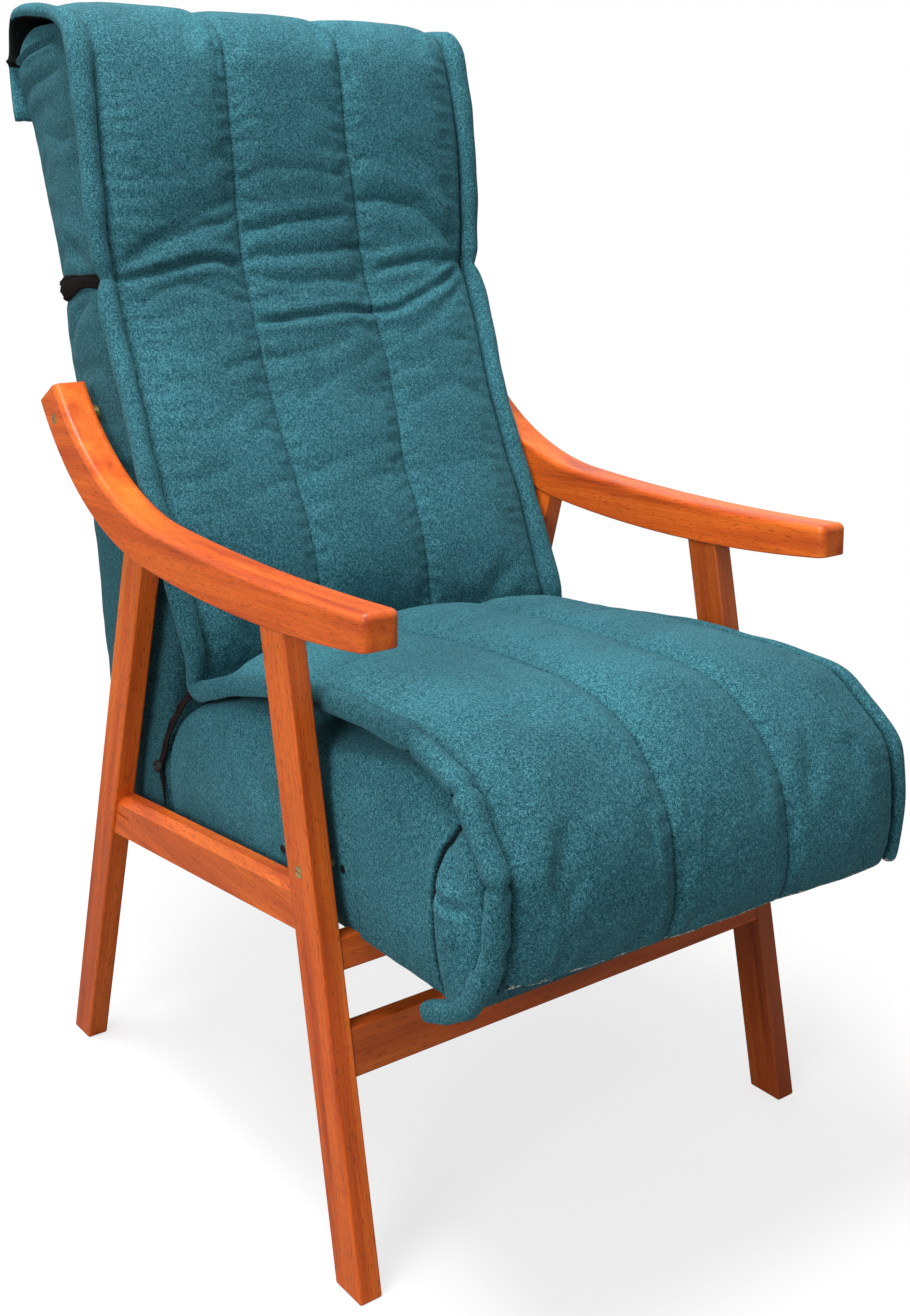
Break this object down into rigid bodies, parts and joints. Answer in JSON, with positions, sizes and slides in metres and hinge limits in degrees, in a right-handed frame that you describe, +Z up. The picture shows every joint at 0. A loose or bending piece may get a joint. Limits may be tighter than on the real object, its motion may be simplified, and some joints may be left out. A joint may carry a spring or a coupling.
{
  "type": "reclining armchair",
  "caption": "High-back wooden armchair whose upholstered back leans and pushes the hinged seat forward, with a quilted overlay from head to seat edge.",
  "frame": {"origin": "on the floor, at the middle of the chair's plan", "axes": "+Z up, the chair faces -Y, +X to the right as seen from the front"},
  "size_m": [0.5776, 0.8998, 1.1305],
  "materials": {
    "beech_stained": "semi-gloss orange-brown stain",
    "beech_inner": "raw",
    "brass": "satin",
    "zinc_steel": "zinc plated",
    "upholstery": "chenille",
    "quilt": "chenille",
    "webbing": "woven",
    "elastic": "woven elastic",
    "dust_cover": "non-woven",
    "button": "matt"
  },
  "bodies": {
    "frame": {"front_leg_left": "beech_stained", "front_leg_right": "beech_stained", "rear_leg_left": "beech_stained", "rear_leg_right": "beech_stained", "armrest_left": "beech_stained", "armrest_right": "beech_stained", "side_rail_left": "beech_stained", "side_rail_right": "beech_stained", "front_stretcher": "beech_stained", "front_cross_rail": "beech_stained", "rear_cross_rail": "beech_stained", "leg_dowels": "beech_inner", "back_pivot_bolts": "brass", "seat_guide_bolts": "brass"},
    "backrest": {"back_core": "upholstery", "back_rear_panel": "upholstery", "back_post_left": "beech_inner", "back_post_right": "beech_inner", "back_bottom_rail": "beech_inner", "back_top_rail": "beech_inner", "back_webbing": "webbing", "pivot_bushes": "brass", "hinge_back_leaves": "zinc_steel", "hinge_pins": "zinc_steel", "hinge_back_screws": "zinc_steel", "quilt_back": "quilt", "lumbar_strap": "elastic"},
    "seat": {"seat_core": "upholstery", "seat_side_rail_left": "beech_inner", "seat_side_rail_right": "beech_inner", "seat_front_rail": "beech_inner", "seat_rear_rail": "beech_inner", "seat_webbing": "webbing", "seat_dust_cover": "dust_cover", "guide_plate_left": "zinc_steel", "guide_plate_right": "zinc_steel", "guide_screws": "zinc_steel", "hinge_seat_leaves": "zinc_steel", "hinge_seat_screws": "zinc_steel", "quilt_seat": "quilt", "crease_straps": "elastic", "strap_buttons": "button"}
  },
  "joints": [
    {"name": "back_recline", "type": "hinge", "parent": "frame", "child": "backrest", "pos_m": [0, 0.2596, 0.71], "axis": [-1, 0, 0], "range_deg": [0, 10]},
    {"name": "seat_hinge", "type": "hinge", "parent": "backrest", "child": "seat", "pos_m": [0, 0.1166, 0.3129], "axis": [-1, 0, 0], "range_deg": [-13.35, 0]}
  ],
  "couplings": [
    {"joint": "seat_hinge", "follows": "back_recline", "ratio": -1.33}
  ]
}
